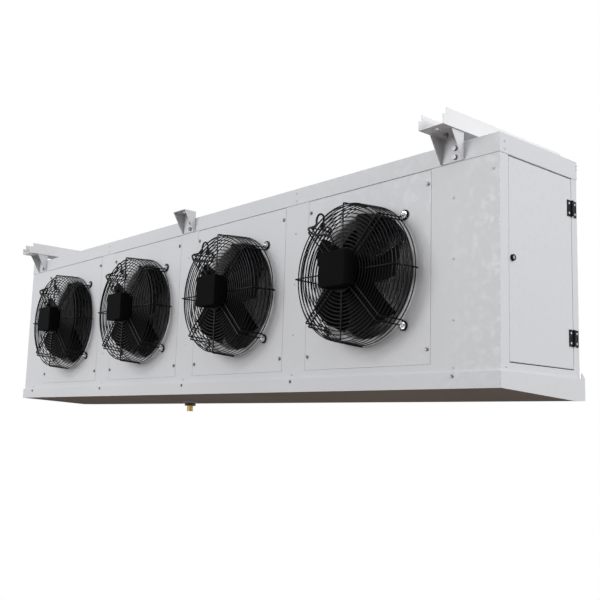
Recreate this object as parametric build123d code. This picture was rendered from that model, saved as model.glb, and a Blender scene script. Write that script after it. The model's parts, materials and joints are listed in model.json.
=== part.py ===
from build123d import *
import math
import os

# Ceiling-hung unit cooler for a walk-in cold room: four axial fans blow forward through a
# finned coil in a sheet-metal casing with a drain pan below. Millimetres, +Z up, the fans face -Y.
# The pieces are drawn from the casing's left front bottom corner. keep() moves each one so that
# the origin is the centre of the four hanger bolt holes, on the hanger rails' upper face.

os.makedirs("parts", exist_ok=True)

# ---- Casing ----
length = 2700.0  # left end to right end
depth = 350.0  # fan face to back edge
height = 640.0  # bottom of the front to the top of the cap
sheet = 1.5  # painted sheet steel
cap_band = 52.0  # turned-down band of the top panel
skirt = 8.0  # bottom edge of the casing's sheets, inside the drain pan
lip = 16.0  # width of the joggled lip behind each fan panel

# ---- Fan panels and bell-mouths ----
fan_count = 4
left_margin = 135.0  # from the left end to the first fan's bay
right_margin = 165.0  # from the last fan's bay to the right end
fan_pitch = (length - left_margin - right_margin) / fan_count
panel_side = 55.0  # from a bay's edge to its fan panel
panel_width = fan_pitch - 2 * panel_side
panel_foot = 65.0  # bottom edge of the fan panels
panel_gap = 1.0  # at the sides and the bottom
panel_head = 3.0  # gap below the cap
panel_height = height - cap_band - panel_head - panel_foot
mouth_radius = 180.0
mouth_depth = 45.0
mouth_fillet = 8.0

# ---- Fan guards ----
wire = 3.5
weld = 2.2  # from the arms' outside to the rings' outside
guard_depth = 91.0  # panel face to the guard's front
elbow_radius = 200.0
base_radius = 205.0
face_rings = 5
side_rings = 1
ring_sides = 24
hub_ring_outer = 58.0
hub_ring_inner = 40.0
hub_ring_thick = 2.5
elbow_cut = 14.0  # from the guard's front to its first side ring
arm_corner = 6.0  # cut of the arms at the elbow
arm_start = 49.5
ear_offset = 153.0  # of each ear from the fan's axis, along x and z
ear_outer = 13.0
ear_hole = 8.0
arm_spacing = 12.0  # between the two wires of a diagonal arm
nut_size = 10.0  # across flats of a dome nut
washer_radius = 10.0
stud_radius = 3.0
stud_play = 0.2

# ---- Motors and fan wheels ----
flange_radius = 47.0
flange_thick = 6.0
core_radius = 44.0
core_length = 50.0
can_radius = 51.0
can_wall = 4.0
can_length = 64.0
can_gap = 3.5  # between the stator flange and the rotor can's rim
shaft_radius = 6.0
shaft_play = 0.04
blade_count = 5
blade_radius = 172.0
blade_thick = 3.0
# Distance from the axis, chord, pitch in degrees, rake and sweep; lengths are shares of the radius.
blade_shape = (
    (0.207, 0.51, 34.0, 0.0, 0.0),
    (0.62, 0.65, 27.0, 0.035, 0.08),
    (1.02, 0.77, 22.0, 0.058, 0.23),
)
band_thick = 3.0
band_length = 34.0
band_play = 0.05

# ---- Motor terminal boxes and cables ----
box_width = 108.0
box_height = 112.0
box_base = 20.0  # depth of the straight part
box_nose = 26.0  # depth of the tapered part
nose_width = 76.0
nose_height = 100.0
box_corner = 6.0
box_rise = 9.0  # of the box's middle above the fan's axis
gland_x = -25.0
gland_y = -103.0
gland_radius = 7.0
gland_length = 10.0
cable_radius = 3.2
cable_play = 0.1
grommet_radius = 11.0
grommet_hole = 7.0  # hole in the fan panel
grommet_x = -181.0  # from the fan's axis
grommet_z = 175.0

# ---- Bulkheads, partitions and coil ----
left_bulkhead = 95.0
service_width = 143.0  # of the compartment behind the service door
right_bulkhead = length - service_width
plate = 2.0
plate_flange = 28.0
coil_back = depth - 5.0
coil_front = coil_back - 195.0
coil_foot = 45.0
coil_top = height - 60.0
fin_group = 100.0  # pitch of the grooves that stand for the gaps between the fins
groove_width = 5.0
groove_depth = 22.0
tube_radius = 8.0
bend_radius = 19.0
bend_count = 3
bend_first = 240.0
bend_pitch = 130.0
bend_y = (coil_front + coil_back) / 2
header_radius = 17.5
suction_radius = 14.0
header_x = 47.0  # from the right bulkhead
header_y = coil_back - 45.0
stub_z = 98.0  # height of the suction stub
stub_x = 83.0  # from the right bulkhead
stub_reach = 65.0  # of the pipe stubs past the back edge
stub_socket = 40.0  # length of their expanded ends
stub_step = 0.8  # of the expanded ends over the pipes
liquid_radius = 8.0
liquid_x = 15.0
liquid_y = coil_front + 50.0
liquid_z = 170.0
liquid_riser = 150.0
feed_count = 3
feed_radius = 2.5
feed_bend = 9.0
feed_spread = 6.0
feed_step = 45.0
distributor_height = 30.0
heater_radius = 4.25
heater_y = (coil_front + 55.0, coil_back - 50.0)
heater_play = 0.3
terminal_depth = 46.0
terminal_width = 100.0
terminal_height = 140.0
terminal_y = 34.0
terminal_z = 360.0
lid_overhang = 3.0
lid_thick = 6.0

# ---- Drain pan and outlet ----
pan_proud = 5.5  # of the casing, at the front and both ends
pan_wall = 42.0
pan_back = depth + 18.0
pan_back_wall = 56.0  # top of the pan's slope up to the casing's back
pan_low_y = depth - 38.0
pan_drop = 17.0
pan_back_drop = 15.0
drain_x = left_margin + 1.5 * fan_pitch
drain_y = pan_low_y - 74.0
drain_cup = 28.0
drain_cup_foot = -19.0
drain_radius = 13.0
drain_spigot = 12.0
drain_spigot_length = 20.0
drain_bore = 10.0
drain_nut = 38.0
drain_nut_height = 11.0
drain_play = 0.3

# ---- Hangers ----
hanger_x = (108.0, (length - 39.0) / 2, length - 147.0)
gusset_width = 74.0
gusset_reach = 50.0
gusset_foot = height - 50.0
gusset_toe = 6.0
gusset_bolt_x = 10.0
gusset_bolt_z = (12.0, 36.0)
gusset_sheet = 2.0
rail_clear = 24.0  # between the cap and the hanger rails
rail_width = 84.0
rail_height = 46.0
rail_sheet = 3.0
rail_front = 90.0  # overhang in front of the casing
rail_step = 12.0  # length of the lowered tip
rail_tip = 27.0  # height of the lowered tip
bolt_overhang = 66.0  # of the hanger bolts, in front of and behind the casing
hanger_hole = 6.0
rail_bolt_y = 28.0
rail_bolt = 4.0
bolt_head = 13.0
bolt_head_height = 5.3
bolt_play = 0.3
bolt_tail = 14.0

# ---- Service door ----
door_front = 38.0
door_back = depth - 28.0
door_foot = 66.0
door_top = height - cap_band - 3.0
door_gap = 2.5  # above and below the door
door_side_gap = 1.2
door_flange = 12.0
frame_lip = 14.0
hinge_z = (door_foot + 82.0, door_top - 83.0)
hinge_height = 45.0
leaf_width = 21.0
leaf_thick = 2.5
pin_radius = 2.0
knuckle_radius = 3.5
knuckle_gap = 0.3
pin_play = 0.03
lock_y = 50.5
lock_z = (door_foot + door_top) / 2
lock_flange = 8.5
lock_proud = 7.0
lock_barrel = 7.0
lock_insert = 4.5
lock_play = 0.05
cam_length = 30.0
cam_width = 11.0
cam_thick = 2.5

# ---- Worked out from the sizes above ----
rail_foot = height + rail_clear
hinge_y = door_back + door_side_gap / 2
hinge_x = length + knuckle_radius
fan_x = [left_margin + (i + 0.5) * fan_pitch for i in range(fan_count)]
fan_z = panel_foot + panel_height / 2
pillar_x = [(fan_x[i] + fan_x[i + 1]) / 2 for i in range(fan_count - 1)]
panel_top = panel_foot + panel_height
inside_top = height - sheet
to_row = Pos(-(hanger_x[0] + hanger_x[-1]) / 2, -depth / 2, -(rail_foot + rail_sheet))


# ---- Helpers ----
def keep(name, *shapes):
    """Writes one node: one solid, or a group of separate solids."""
    shape = shapes[0] if len(shapes) == 1 else Compound(children=list(shapes))
    export_step(to_row * shape, f"parts/{name}.step")


def slab(x0, x1, y0, y1, z0, z1):
    """A square block between two opposite corners."""
    middle = Pos((x0 + x1) / 2, (y0 + y1) / 2, (z0 + z1) / 2)
    return middle * Box(x1 - x0, y1 - y0, z1 - z0)


def rod_x(radius, x0, x1, y, z):
    return Pos((x0 + x1) / 2, y, z) * Rot(0, 90, 0) * Cylinder(radius, x1 - x0)


def rod_y(radius, x, y0, y1, z):
    return Pos(x, (y0 + y1) / 2, z) * Rot(90, 0, 0) * Cylinder(radius, y1 - y0)


def rod_z(radius, x, y, z0, z1):
    return Pos(x, y, (z0 + z1) / 2) * Cylinder(radius, z1 - z0)


def hexagon(across_flats, thick):
    """A hexagonal prism on z = 0, with its axis along z."""
    return extrude(RegularPolygon(across_flats / math.sqrt(3), 6), thick)


def pipe(radius, points, radii):
    """A round bar along straight runs joined by tangent arcs."""
    path = FilletPolyline(*points, radius=radii)
    start = Plane(path @ 0, z_dir=path % 0)
    return sweep(start * Circle(radius), path=path)


def side_profile(points):
    """A face in the y-z plane, from (y, z) corners."""
    return make_face(Polyline([(0, y, z) for y, z in points], close=True))


def run_x(face, x0, x1):
    """A y-z face run along x from x0 to x1."""
    return Pos(x0, 0, 0) * extrude(face, x1 - x0, dir=(1, 0, 0))


def wire_ring(outer, y0, y1):
    """A guard ring as a many-sided hoop of square wire, which keeps the basket light."""
    hoop = RegularPolygon(outer, ring_sides) - RegularPolygon(outer - wire, ring_sides)
    return Pos(0, y1, 0) * Rot(90, 0, 0) * extrude(hoop, y1 - y0)


def ring_y(outer, inner, y0, y1):
    """A flat ring about the y axis."""
    return rod_y(outer, 0, y0, y1, 0) - rod_y(inner, 0, y0, y1, 0)


# ---- Casing ----
def top_panel():
    """A tray turned upside down over the casing, with its band outside the front, ends and back."""
    outer = slab(-sheet, length + sheet, -sheet, depth + sheet, height - cap_band, height)
    inner = slab(0, length, 0, depth, height - cap_band - 1, inside_top)
    return outer - inner


def front_frame():
    """One sheet with a window for each fan panel and a joggled lip behind each window's edge."""
    frame = slab(0, length, 0, sheet, skirt, inside_top)
    window_top = height - cap_band
    for x in fan_x:
        left = x - panel_width / 2 - panel_gap
        right = x + panel_width / 2 + panel_gap
        frame += slab(left - lip, right + lip, sheet, 2 * sheet, panel_foot - lip, window_top + lip)
        frame -= slab(left, right, -1, sheet, panel_foot - panel_gap, window_top)
        frame -= slab(left + lip, right - lip, 0, 3 * sheet, panel_foot + lip, panel_top - lip)
    return frame


def left_end_cover():
    """End sheet and back sheet of the return-bend compartment, folded from one piece."""
    end = slab(0, sheet, sheet, depth, skirt, inside_top)
    back = slab(sheet, left_bulkhead, depth - sheet, depth, skirt, inside_top)
    return end + back


def right_end_frame():
    """End sheet with the service door's window and its turned-in lip, and the back sheet."""
    frame = slab(length - sheet, length, sheet, depth, skirt, inside_top)
    frame += slab(right_bulkhead, length - sheet, depth - sheet, depth, skirt, inside_top)
    y0, y1 = door_front - door_side_gap, door_back + door_side_gap
    z0, z1 = door_foot - door_gap, door_top + door_gap
    frame += slab(length - sheet - frame_lip, length, y0 - sheet, y1 + sheet, z0 - sheet, z1 + sheet)
    frame -= slab(length - sheet - frame_lip - 1, length + 1, y0, y1, z0, z1)
    stub = right_bulkhead + stub_x
    frame -= rod_y(suction_radius + 2, stub, depth - 2 * sheet, depth + 1, stub_z)
    liquid = right_bulkhead + liquid_x
    frame -= rod_y(liquid_radius + 2, liquid, depth - 2 * sheet, depth + 1, liquid_z)
    return frame


def bulkhead(x, back, side):
    """A full-height plate across the casing with a front flange towards side (-1 or 1)."""
    x0, x1 = (x, x + plate) if side > 0 else (x - plate, x)
    wall = slab(x0, x1, sheet, back, skirt, inside_top)
    tip = x + side * plate_flange
    return wall + slab(min(x, tip), max(x, tip), sheet, sheet + plate, skirt, inside_top)


# ---- Fan panels, guards and motors, drawn about the y axis ----
def fan_panel():
    """Flat panel with a pressed bell-mouth collar, four stud holes and the cable's hole."""
    half = panel_width / 2
    foot, top = panel_foot - fan_z, panel_top - fan_z
    panel = slab(-half, half, 0, sheet, foot, top)
    outer = mouth_radius + mouth_fillet
    panel -= rod_y(outer, 0, -1, sheet + 1, 0)
    near, far = mouth_fillet * (1 - math.sqrt(0.5)), mouth_fillet - sheet
    outer_mid = mouth_fillet - far * math.sqrt(0.5)
    profile = make_face(
        [
            ThreePointArc((outer, 0), (mouth_radius + near, near), (mouth_radius, mouth_fillet)),
            Line((mouth_radius, mouth_fillet), (mouth_radius, mouth_depth)),
            Line((mouth_radius, mouth_depth), (mouth_radius + sheet, mouth_depth)),
            Line((mouth_radius + sheet, mouth_depth), (mouth_radius + sheet, mouth_fillet)),
            ThreePointArc(
                (mouth_radius + sheet, mouth_fillet),
                (mouth_radius + outer_mid, outer_mid),
                (outer, sheet),
            ),
            Line((outer, sheet), (outer, 0)),
        ]
    )
    panel += revolve(profile, Axis.Y)
    for x in (-ear_offset, ear_offset):
        for z in (-ear_offset, ear_offset):
            panel -= rod_y(stud_radius + stud_play, x, -1, sheet + 1, z)
    return panel - rod_y(grommet_hole, grommet_x, -1, sheet + 1, grommet_z)


def guard_arm(foot):
    """One bent guard wire, welded outside the rings, from the hub ring back to y = foot."""
    front = -guard_depth
    elbow, base = elbow_radius, base_radius
    corners = [
        (arm_start, front + wire),
        (elbow - arm_corner - wire / 2, front + wire),
        (elbow - wire, front + arm_corner + wire / 2),
        (base - wire, foot),
        (base, foot),
        (elbow, front + arm_corner),
        (elbow - arm_corner, front),
        (arm_start, front),
    ]
    return extrude(make_face(Polyline(corners, close=True)), wire / 2, both=True)


def fan_guard():
    """Welded wire basket: rings on the face and the side, four single and four double arms."""
    front = -guard_depth
    guard = ring_y(hub_ring_outer, hub_ring_inner, front, front + hub_ring_thick)
    pitch = (elbow_radius - elbow_cut - hub_ring_outer) / face_rings
    for i in range(face_rings):
        radius = hub_ring_outer + (i + 1) * pitch
        guard += wire_ring(radius + wire / 2, front + weld, front + weld + wire)
    side = (guard_depth - elbow_cut - 2 * wire) / (side_rings + 1)
    for i in range(side_rings + 2):
        y = front + elbow_cut + i * side
        radius = elbow_radius + (base_radius - elbow_radius) * i / (side_rings + 1)
        guard += wire_ring(radius - weld, y - wire / 2, y + wire / 2)
    for quarter in range(4):
        guard += Rot(0, 90 * quarter, 0) * guard_arm(-wire)
        arm = Pos(0, 0, arm_spacing / 2) * guard_arm(0) + Pos(0, 0, -arm_spacing / 2) * guard_arm(0)
        ear = ear_offset * math.sqrt(2)
        arm += Pos(ear, 0, 0) * ring_y(ear_outer, ear_hole, -wire, 0)
        guard += Rot(0, 45 + 90 * quarter, 0) * arm
    return guard


def dome_nuts():
    """Stud, washer and dome nut at each ear."""
    nuts = []
    for x in (-ear_offset, ear_offset):
        for z in (-ear_offset, ear_offset):
            seat = -wire
            nut = rod_y(washer_radius, 0, seat - sheet, seat, 0)
            nut += rod_y(stud_radius, 0, seat, sheet + 2 * stud_radius, 0)
            nut += Pos(0, seat - sheet, 0) * Rot(90, 0, 0) * hexagon(nut_size, 0.8 * nut_size)
            nuts.append(Pos(x, 0, z) * nut)
    return nuts


def motor_stator():
    """Flange on the guard's hub ring, wound core with the bearing bore, and the front boss."""
    face = -guard_depth + hub_ring_thick
    stator = rod_y(flange_radius, 0, face, face + flange_thick, 0)
    stator += rod_y(core_radius, 0, face + flange_thick, face + flange_thick + core_length, 0)
    stator += rod_y(hub_ring_inner - shaft_radius, 0, -guard_depth - sheet, face, 0)
    back = face + flange_thick + core_length
    return stator - rod_y(shaft_radius + shaft_play, 0, face + flange_thick, back + 1, 0)


def rotor_can():
    """External rotor: a cup around the core, with the shaft fixed in its closed end."""
    rim = -guard_depth + hub_ring_thick + flange_thick + can_gap
    back = rim + can_length
    can = rod_y(can_radius, 0, rim, back, 0)
    can = chamfer(can.edges().filter_by(GeomType.CIRCLE).sort_by(Axis.Y)[-1], can_wall / 2)
    can -= rod_y(can_radius - can_wall, 0, rim - 1, back - can_wall, 0)
    return can + rod_y(shaft_radius, 0, rim, back - can_wall / 2, 0)


def blade_section(distance, chord, pitch, y, sweep_back):
    """A cambered section, square to the radius, with its chord pitched against the fan's plane."""
    angle = math.radians(pitch)
    camber = chord / 9
    plane = Plane(
        origin=(distance, y, sweep_back), x_dir=(0, math.sin(angle), math.cos(angle)), z_dir=(1, 0, 0)
    )
    half = chord / 2
    lens = make_face(
        [
            ThreePointArc((-half, 0), (0, camber), (half, 0)),
            ThreePointArc((half, 0), (0, camber - blade_thick), (-half, 0)),
        ]
    )
    return plane * lens


def fan_blades():
    """Swept blades on a band round the rotor can."""
    rim = -guard_depth + hub_ring_thick + flange_thick + can_gap
    back = rim + can_length - can_wall
    bore = can_radius + band_play
    wheel = ring_y(bore + band_thick, bore, back - band_length, back)
    middle = back - band_length / 2
    reach = blade_radius
    sections = [
        blade_section(share * reach, chord * reach, pitch, middle + rake * reach, sweep * reach)
        for share, chord, pitch, rake, sweep in blade_shape
    ]
    blade = loft(sections)
    shell = ring_y(reach, bore + band_thick / 2, middle - 2 * band_length, middle + 2 * band_length)
    blade = blade & shell
    for i in range(blade_count):
        wheel += Rot(0, 360 / blade_count * i, 0) * blade
    return wheel


def junction_box():
    """Terminal box on the stator's boss: straight base, tapered nose and a cable gland on top."""
    back = -guard_depth - sheet
    front = back - box_base
    base = RectangleRounded(box_width, box_height, box_corner)
    nose = RectangleRounded(nose_width, nose_height, box_corner)
    box = Pos(0, back, box_rise) * Rot(90, 0, 0) * extrude(base, box_base)
    low = Pos(0, front, box_rise) * Rot(90, 0, 0) * base
    high = Pos(0, front - box_nose, box_rise) * Rot(90, 0, 0) * nose
    box += loft([low.face(), high.face()])
    top = box_rise + box_height / 2
    return box + rod_z(gland_radius, gland_x, gland_y, top, top + gland_length)


def motor_cable():
    """Motor lead from the gland, along the guard's double arm, to the panel's grommet."""
    start = box_rise + box_height / 2 + gland_length
    hole_x, hole_z = grommet_x, grommet_z
    points = [
        (gland_x, gland_y, start),
        (gland_x, gland_y, start + 17),
        (gland_x - 17, gland_y + 1, start + 35),
        (-75, gland_y + 2, start + 38),
        (-108, gland_y + 2, start + 43),
        (-137, gland_y + 5, 139),
        (-154, -78, 152),
        (-167, -50, 160),
        (-176, -29, 173),
        (-184, -24, 189),
        (-179, -22, 205),
        (-165, -21, 207),
        (-154, -20, 195),
        (-157, -19, 180),
        (hole_x + 10, -16, hole_z - 4),
        (hole_x, -8, hole_z),
        (hole_x, 3, hole_z),
    ]
    radii = corner_radii(points)
    print("cable bends", [round(radius) for radius in radii])
    return pipe(cable_radius, points, radii)


def corner_radii(points):
    """The largest bend at each corner of a route that its two runs allow."""
    radii = []
    for before, here, after in zip(points, points[1:], points[2:]):
        run_in, run_out = Vector(*here) - Vector(*before), Vector(*after) - Vector(*here)
        turn = math.radians(run_in.get_angle(run_out))
        radii.append(0.45 * min(run_in.length, run_out.length) / math.tan(turn / 2))
    return radii


def grommet():
    """Rubber ring in the fan panel, with its flange on the front of the sheet."""
    bore = cable_radius + cable_play
    ring = rod_y(grommet_radius, grommet_x, -3, 0, grommet_z)
    ring += rod_y(grommet_hole, grommet_x, 0, sheet, grommet_z)
    return ring - rod_y(bore, grommet_x, -4, sheet + 4, grommet_z)


# ---- Coil and pipework ----
def coil_fins():
    """Envelope of the fin pack between the two bulkheads, grooved like its widest gaps."""
    left, right = left_bulkhead + plate, right_bulkhead - plate
    pack = slab(left, right, coil_front, coil_back, coil_foot, coil_top)
    grooves = []
    for i in range(1, int((right - left) / fin_group)):
        x = left + i * fin_group
        for y in (coil_front, coil_back):
            low, high = y - groove_depth, y + groove_depth
            grooves.append(slab(x, x + groove_width, low, high, coil_foot - 1, coil_top + 1))
    return pack - grooves


def tube_bends(x, side):
    """The coil tubes' U-bends outside a bulkhead, towards side (-1 or 1)."""
    bends = []
    straight = bend_radius
    for i in range(bend_count):
        z = bend_first + i * bend_pitch
        points = [
            (x, bend_y, z - bend_radius),
            (x + side * (straight + bend_radius), bend_y, z - bend_radius),
            (x + side * (straight + bend_radius), bend_y, z + bend_radius),
            (x, bend_y, z + bend_radius),
        ]
        bends.append(pipe(tube_radius, points, bend_radius * 0.98))
    return bends


def suction_header():
    """Vertical header with its coil stubs, and the suction stub out through the back."""
    x, top = right_bulkhead + header_x, coil_top - 40
    foot = stub_z + 40
    header = rod_z(header_radius, x, header_y, foot, top)
    for i in range(bend_count):
        z = bend_first + i * bend_pitch
        header += rod_x(tube_radius, right_bulkhead, x, header_y, z)
    out = right_bulkhead + stub_x
    points = [
        (x, header_y, foot + 40),
        (x, header_y, stub_z + out - x),
        (out, header_y, stub_z),
        (out, depth + stub_reach, stub_z),
    ]
    bend = 1.2 * suction_radius
    header += pipe(suction_radius - stub_step, points, [bend, bend])
    end = depth + stub_reach
    return header + rod_y(suction_radius, out, end - stub_socket, end, stub_z)


def liquid_line():
    """Liquid line from the stub at the back up to the distributor."""
    x = right_bulkhead + liquid_x
    points = [
        (x, depth + stub_reach, liquid_z),
        (x, liquid_y, liquid_z),
        (x, liquid_y, liquid_z + liquid_riser),
    ]
    end = depth + stub_reach
    socket = rod_y(liquid_radius, x, end - stub_socket, end, liquid_z)
    return pipe(liquid_radius - stub_step, points, 3 * liquid_radius) + socket


def distributor():
    """Brass distributor on the liquid line, with one feed tube for each coil circuit."""
    x = right_bulkhead + liquid_x
    foot = liquid_z + liquid_riser
    top = foot + distributor_height
    body = Cone(1.1 * liquid_radius, 1.6 * liquid_radius, distributor_height)
    body = Pos(x, liquid_y, (foot + top) / 2) * body
    for i in range(feed_count):
        y = liquid_y + feed_spread * (i - (feed_count - 1) / 2)
        z = top + feed_step * (i + 0.5)
        points = [(x, y, top - feed_radius), (x, y, z), (right_bulkhead, y, z)]
        body += pipe(feed_radius, points, feed_bend)
    return body


def terminal_box():
    """Wiring box on the right bulkhead, behind the service door's front stile."""
    x0, x1 = right_bulkhead, right_bulkhead + terminal_depth
    y0, y1 = terminal_y, terminal_y + terminal_width
    z0, z1 = terminal_z, terminal_z + terminal_height
    base = slab(x0, x1, y0, y1, z0, z1)
    rim = lid_overhang
    lid = slab(x1, x1 + lid_thick, y0 - rim, y1 + rim, z0 - rim, z1 + rim)
    return base, fillet(lid.edges().filter_by(Axis.X), lid_thick - 1)


def defrost_heaters():
    """Hairpin heater rod clipped under the fin pack."""
    z = coil_foot - heater_radius - heater_play
    left, right = left_bulkhead + plate + 30, right_bulkhead - plate - 20
    near, far = heater_y
    points = [(right, near, z), (left, near, z), (left, far, z), (right, far, z)]
    return pipe(heater_radius, points, 6 * heater_radius)


# ---- Drain pan ----
def drain_pan():
    """Folded tray with a sloping floor, a return lip against the casing and a drain cup."""
    x0, x1 = -pan_proud, length + pan_proud
    outline = [
        (-pan_proud, 0),
        (pan_low_y, -pan_drop),
        (pan_back, -pan_back_drop),
        (pan_back, pan_wall),
        (depth + pan_proud, pan_back_wall),
        (depth, pan_back_wall),
        (depth, pan_wall),
        (-pan_proud, pan_wall),
    ]
    inside = [
        (-pan_proud + sheet, sheet),
        (pan_low_y, sheet - pan_drop),
        (pan_back - sheet, sheet - pan_back_drop),
        (pan_back - sheet, 2 * pan_back_wall),
        (-pan_proud + sheet, 2 * pan_back_wall),
    ]
    pan = run_x(side_profile(outline), x0, x1)
    pan -= run_x(side_profile(inside), x0 + sheet, x1 - sheet)
    pan += slab(x0, x1, -pan_proud, 0, pan_wall - sheet, pan_wall)
    pan += slab(x0, 0, -pan_proud, depth, pan_wall - sheet, pan_wall)
    pan += slab(length, x1, -pan_proud, depth, pan_wall - sheet, pan_wall)
    cup_top = sheet - pan_drop * (drain_y - drain_cup) / pan_low_y
    pan += rod_z(drain_cup, drain_x, drain_y, drain_cup_foot, cup_top - sheet)
    pan -= rod_z(drain_cup - sheet, drain_x, drain_y, drain_cup_foot + sheet, cup_top + 1)
    return pan - rod_z(drain_radius + drain_play, drain_x, drain_y, drain_cup_foot - 1, 0)


def drain_nipple():
    """Threaded outlet tube with a flange seated in the drain cup."""
    seat = drain_cup_foot + sheet
    thread_end = drain_cup_foot - drain_nut_height - 1
    spigot_end = thread_end - drain_spigot_length
    nipple = rod_z(1.35 * drain_radius, drain_x, drain_y, seat, seat + sheet)
    nipple += rod_z(drain_radius, drain_x, drain_y, thread_end, seat)
    nipple += rod_z(drain_spigot, drain_x, drain_y, spigot_end, seat)
    return nipple - rod_z(drain_bore, drain_x, drain_y, spigot_end - 1, seat + 2 * sheet)


def drain_locknut():
    """Hexagonal locknut under the drain cup."""
    nut = Pos(drain_x, drain_y, drain_cup_foot - drain_nut_height) * hexagon(drain_nut, drain_nut_height)
    bore = drain_radius + shaft_play
    return nut - rod_z(bore, drain_x, drain_y, drain_cup_foot - 2 * drain_nut_height, drain_cup_foot + 1)


# ---- Hangers ----
def gusset(x):
    """Front hanger bracket: web on the cap's band, two triangular cheeks and a flat top."""
    x0, x1 = x - gusset_width / 2, x + gusset_width / 2
    face = -sheet
    tip = face - gusset_reach
    bracket = slab(x0, x1, face - gusset_sheet, face, gusset_foot, rail_foot)
    bracket += slab(x0, x1, tip, face, rail_foot - gusset_sheet, rail_foot)
    cheek = side_profile([(face, gusset_foot), (face, rail_foot), (tip, rail_foot), (face - gusset_toe, gusset_foot)])
    bracket += run_x(cheek, x0, x0 + gusset_sheet)
    bracket += run_x(cheek, x1 - gusset_sheet, x1)
    hole = hanger_hole if x == hanger_x[1] else rail_bolt + bolt_play
    return bracket - rod_z(hole, x, -rail_bolt_y, rail_foot - 2 * gusset_sheet, rail_foot + 1)


def both_sides(shape):
    """A front piece and its mirror image at the casing's back."""
    return shape, mirror(shape, Plane(origin=(0, depth / 2, 0), z_dir=(0, 1, 0)))


def hanger_rail(x):
    """Channel over the casing, open upwards, with a lowered tip at the front."""
    x0, x1 = x - rail_width / 2, x + rail_width / 2
    top = rail_foot + rail_height
    back = depth + rail_front
    rail = slab(x0, x1, -rail_front, back, rail_foot, top)
    rail -= slab(x0 + rail_sheet, x1 - rail_sheet, -rail_front - 1, back + 1, rail_foot + rail_sheet, top + 1)
    rail -= slab(x0 - 1, x1 + 1, -rail_front - 1, rail_step - rail_front, rail_foot + rail_tip, top + 1)
    for y in (-bolt_overhang, depth + bolt_overhang):
        rail -= rod_z(hanger_hole, x, y, rail_foot - 1, rail_foot + 2 * rail_sheet)
    for y in (-rail_bolt_y, depth + rail_bolt_y):
        rail -= rod_z(rail_bolt + bolt_play, x, y, rail_foot - 1, rail_foot + 2 * rail_sheet)
    return rail


def rail_bolt_set(x):
    """Bolt down through the rail and the gusset's top, with its nut below."""
    seat = rail_foot + rail_sheet
    bolt = Pos(x, -rail_bolt_y, seat) * hexagon(bolt_head, bolt_head_height)
    bolt += rod_z(rail_bolt, x, -rail_bolt_y, rail_foot - bolt_tail, seat)
    under = rail_foot - gusset_sheet - bolt_head_height
    nut = Pos(x, -rail_bolt_y, under) * hexagon(bolt_head, bolt_head_height)
    nut -= rod_z(rail_bolt + shaft_play, x, -rail_bolt_y, under - 1, rail_foot)
    return bolt, nut


def gusset_bolts(x):
    """Two hexagon heads on a gusset's web."""
    seat = -sheet - gusset_sheet
    head = Rot(90, 0, 0) * hexagon(bolt_head, bolt_head_height)
    return [Pos(x + gusset_bolt_x, seat, gusset_foot + z) * head for z in gusset_bolt_z]


# ---- Service door ----
def side_door():
    """Door tray with its flanges turned in, and the hole for the lock."""
    skin = slab(length - sheet, length, door_front, door_back, door_foot, door_top)
    tray = slab(length - sheet - door_flange, length, door_front, door_back, door_foot, door_top)
    inner = slab(
        length - 2 * sheet - door_flange,
        length - sheet,
        door_front + sheet,
        door_back - sheet,
        door_foot + sheet,
        door_top - sheet,
    )
    door = (tray - inner) + skin
    return door - rod_x(lock_barrel + lock_play, length - 2 * sheet, length + 1, lock_y, lock_z)


def hinge_leaf(z, side, tabs):
    """A hinge leaf towards side (-1 for the door, 1 for the frame) with its knuckles."""
    clear = knuckle_radius + knuckle_gap
    low, high = z - hinge_height / 2, z + hinge_height / 2
    near, far = hinge_y + side * clear, hinge_y + side * (clear + leaf_width - knuckle_radius)
    leaf = slab(length, length + leaf_thick, min(near, far), max(near, far), low, high)
    for z0, z1 in tabs:
        leaf += slab(length, length + leaf_thick, min(near, hinge_y), max(near, hinge_y), z0, z1)
        leaf += rod_z(knuckle_radius, hinge_x, hinge_y, z0, z1)
    return leaf - rod_z(pin_radius + pin_play, hinge_x, hinge_y, low - 1, high + 1)


def hinge_parts(z):
    """Door leaf, frame leaf and pin of one butt hinge."""
    low, high = z - hinge_height / 2, z + hinge_height / 2
    split = hinge_height / 6
    door_leaf = hinge_leaf(z, -1, [(z - split + knuckle_gap, z + split - knuckle_gap)])
    frame_leaf = hinge_leaf(z, 1, [(low, z - split), (z + split, high)])
    pin = rod_z(pin_radius, hinge_x, hinge_y, low, high)
    pin += rod_z(knuckle_radius - 0.5, hinge_x, hinge_y, low - 1, low)
    pin += rod_z(knuckle_radius - 0.5, hinge_x, hinge_y, high, high + 1)
    return door_leaf, frame_leaf, pin


def lock_body():
    """Quarter-turn lock's housing in the door."""
    body = rod_x(lock_flange, length, length + lock_proud, lock_y, lock_z)
    body = chamfer(body.edges().filter_by(GeomType.CIRCLE).sort_by(Axis.X)[-1], 1.5)
    body += rod_x(lock_barrel, length - door_flange, length, lock_y, lock_z)
    return body - rod_x(lock_insert + lock_play, length - 2 * door_flange, length + 2 * lock_proud, lock_y, lock_z)


def lock_cam():
    """Turning insert with its key slot, and the cam behind the door's flange, at rest upright."""
    back = length - sheet - frame_lip - 1 - cam_thick
    front = length + lock_proud - 1
    cam = rod_x(lock_insert, back, front, lock_y, lock_z)
    cam -= slab(front - 2, front + 1, lock_y - 1, lock_y + 1, lock_z - 3, lock_z + 3)
    half = cam_width / 2
    return cam + slab(back, back + cam_thick, lock_y - half, lock_y + half, lock_z - half, lock_z + cam_length)


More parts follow.
